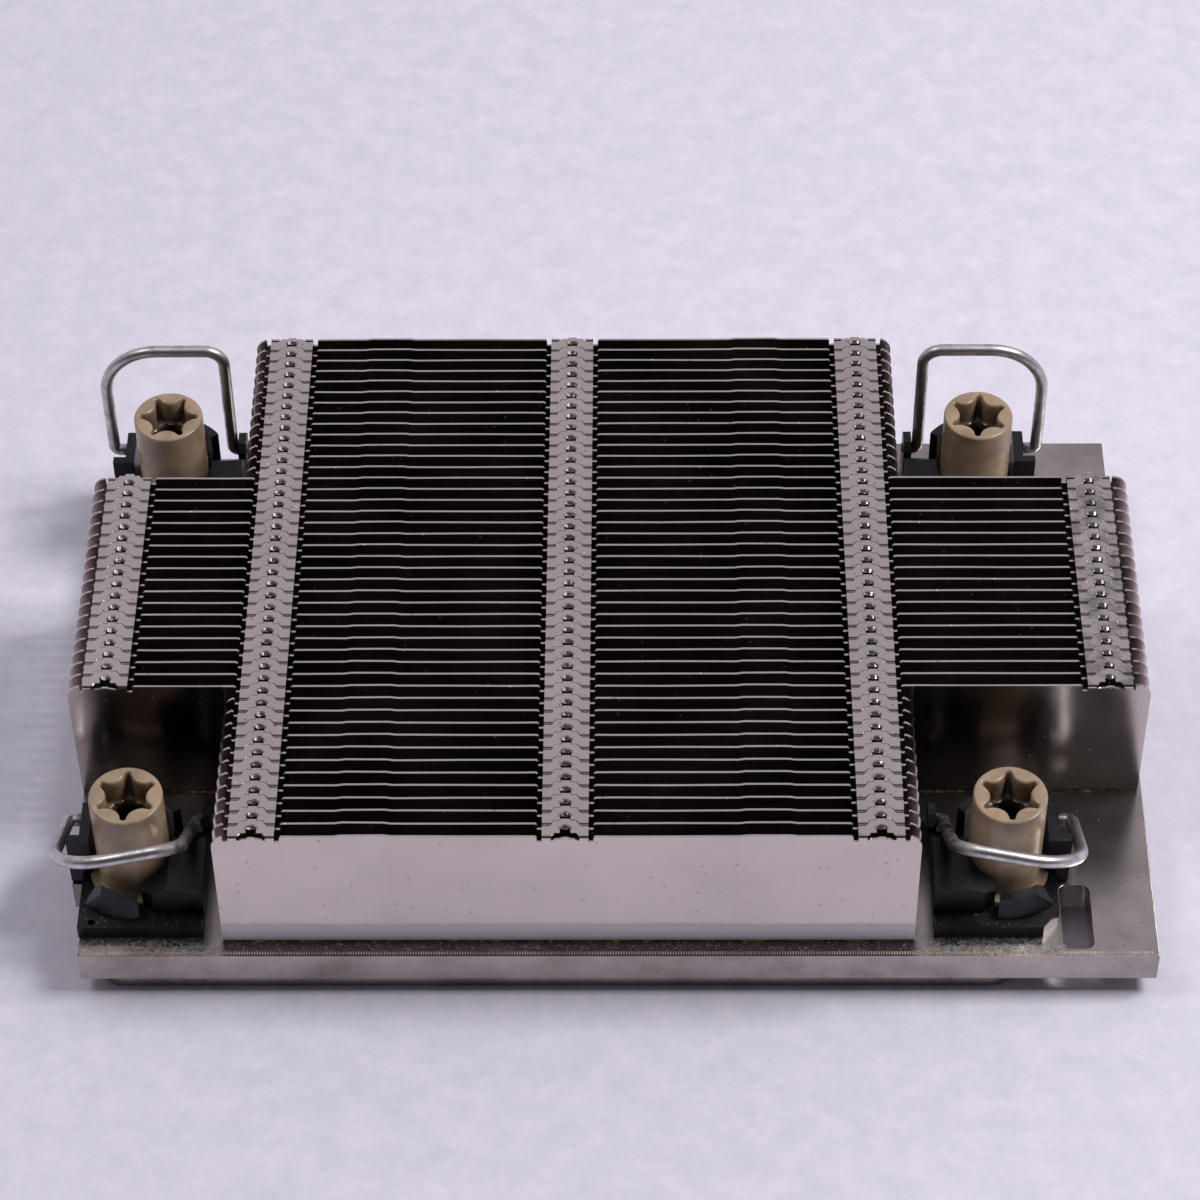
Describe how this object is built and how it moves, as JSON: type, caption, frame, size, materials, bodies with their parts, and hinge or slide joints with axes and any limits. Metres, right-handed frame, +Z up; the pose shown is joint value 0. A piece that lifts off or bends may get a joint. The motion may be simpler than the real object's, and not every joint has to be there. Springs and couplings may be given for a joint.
{
  "type": "passive server cpu heatsink",
  "caption": "Low passive heatsink: stacked folded fins in a cross plan on a plated base, with captive nuts and hinged wire bails at the corners.",
  "frame": {"origin": "on the underside of the pedestal, at the centre of the nut pattern and of the fin pack", "axes": "+X along the long side of the plate, towards the slotted end; +Y from the front to the back, across the fins; +Z up from the contact face"},
  "size_m": [0.1195, 0.0775, 0.0256],
  "materials": {
    "base": "nickel plated, milled",
    "fin": "nickel plated, satin",
    "retainer": "moulded, blue-black",
    "nut": "tan, turned",
    "wire": "drawn stainless wire"
  },
  "bodies": {
    "heatsink": {"base_plate": "base", "fin_01": "fin", "fin_02": "fin", "fin_03": "fin", "fin_04": "fin", "fin_05": "fin", "fin_06": "fin", "fin_07": "fin", "fin_08": "fin", "fin_09": "fin", "fin_10": "fin", "fin_11": "fin", "fin_12": "fin", "fin_13": "fin", "fin_14": "fin", "fin_15": "fin", "fin_16": "fin", "fin_17": "fin", "fin_18": "fin", "fin_19": "fin", "fin_20": "fin", "fin_21": "fin", "fin_22": "fin", "fin_23": "fin", "fin_24": "fin", "fin_25": "fin", "fin_26": "fin", "fin_27": "fin", "fin_28": "fin", "fin_29": "fin", "fin_30": "fin", "fin_31": "fin", "fin_32": "fin", "fin_33": "fin", "fin_34": "fin", "fin_35": "fin", "fin_36": "fin", "fin_37": "fin", "fin_38": "fin", "fin_39": "fin", "fin_40": "fin", "fin_41": "fin", "fin_42": "fin", "fin_43": "fin", "fin_44": "fin", "retainer_front_left": "retainer", "retainer_front_right": "retainer", "retainer_rear_left": "retainer", "retainer_rear_right": "retainer"},
    "nut_front_left": {"nut_front_left": "nut"},
    "bail_front_left": {"bail_front_left": "wire"},
    "nut_front_right": {"nut_front_right": "nut"},
    "bail_front_right": {"bail_front_right": "wire"},
    "nut_rear_left": {"nut_rear_left": "nut"},
    "bail_rear_left": {"bail_rear_left": "wire"},
    "nut_rear_right": {"nut_rear_right": "nut"},
    "bail_rear_right": {"bail_rear_right": "wire"}
  },
  "joints": [
    {"name": "nut_turn_front_left", "type": "hinge", "parent": "heatsink", "child": "nut_front_left", "pos_m": [-0.0473, -0.0287, 0.0079], "axis": [0, 0, 1], "continuous": true},
    {"name": "bail_swing_front_left", "type": "hinge", "parent": "heatsink", "child": "bail_front_left", "pos_m": [-0.0473, -0.02265, 0.0086], "axis": [1, 0, 0], "range_deg": [-49.5, 0]},
    {"name": "nut_turn_front_right", "type": "hinge", "parent": "heatsink", "child": "nut_front_right", "pos_m": [0.0473, -0.0287, 0.0079], "axis": [0, 0, 1], "continuous": true},
    {"name": "bail_swing_front_right", "type": "hinge", "parent": "heatsink", "child": "bail_front_right", "pos_m": [0.0473, -0.02265, 0.0086], "axis": [1, 0, 0], "range_deg": [-49.5, 0]},
    {"name": "nut_turn_rear_left", "type": "hinge", "parent": "heatsink", "child": "nut_rear_left", "pos_m": [-0.0473, 0.0287, 0.0079], "axis": [0, 0, 1], "continuous": true},
    {"name": "bail_swing_rear_left", "type": "hinge", "parent": "heatsink", "child": "bail_rear_left", "pos_m": [-0.0473, 0.03475, 0.0086], "axis": [1, 0, 0], "range_deg": [0, 49.5]},
    {"name": "nut_turn_rear_right", "type": "hinge", "parent": "heatsink", "child": "nut_rear_right", "pos_m": [0.0473, 0.0287, 0.0079], "axis": [0, 0, 1], "continuous": true},
    {"name": "bail_swing_rear_right", "type": "hinge", "parent": "heatsink", "child": "bail_rear_right", "pos_m": [0.0473, 0.03475, 0.0086], "axis": [1, 0, 0], "range_deg": [0, 49.5]}
  ]
}
